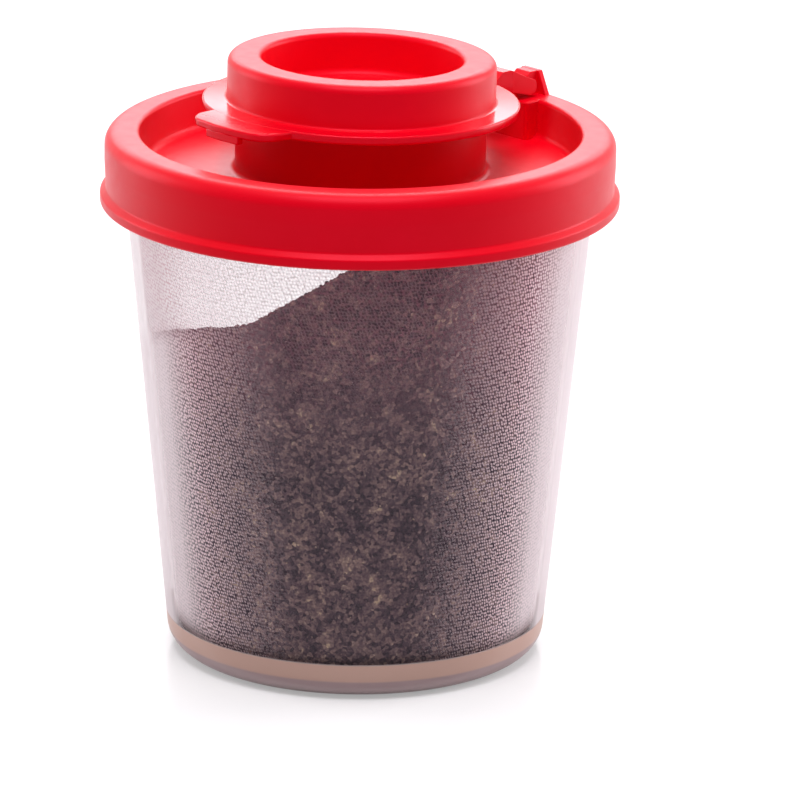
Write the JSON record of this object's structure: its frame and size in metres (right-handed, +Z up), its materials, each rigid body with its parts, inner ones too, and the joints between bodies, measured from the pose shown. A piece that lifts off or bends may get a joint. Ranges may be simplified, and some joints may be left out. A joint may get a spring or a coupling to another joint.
{
  "type": "spice shaker",
  "caption": "Small clear tapered shaker of ground pepper with a red press-on lid, a perforated pouring neck and a hinged flip cap.",
  "frame": {"origin": "centre of the foot ring, on the surface that the shaker stands on", "axes": "+Z up along the cup's axis, +Y towards the hinge, -Y towards the thumb tab"},
  "size_m": [0.0592, 0.0592, 0.07],
  "materials": {
    "clear_plastic": "clear moulded plastic with a fine pebbled wall",
    "pepper": "loose coarse grains, dark brown with pale flecks",
    "red_plastic": "semi-gloss moulded red plastic"
  },
  "bodies": {
    "cup": {"cup": "clear_plastic", "ground_pepper": "pepper"},
    "lid": {"lid": "red_plastic"},
    "flip_cap": {"flip_cap": "red_plastic"}
  },
  "joints": [
    {"name": "lid_lift", "type": "slide", "parent": "cup", "child": "lid", "axis": [0, 0, 1], "range_m": [0, 0.02]},
    {"name": "cap_hinge", "type": "hinge", "parent": "lid", "child": "flip_cap", "pos_m": [0, 0.0248, 0.0624], "axis": [-1, 0, 0], "range_deg": [-1.34, 98]}
  ]
}
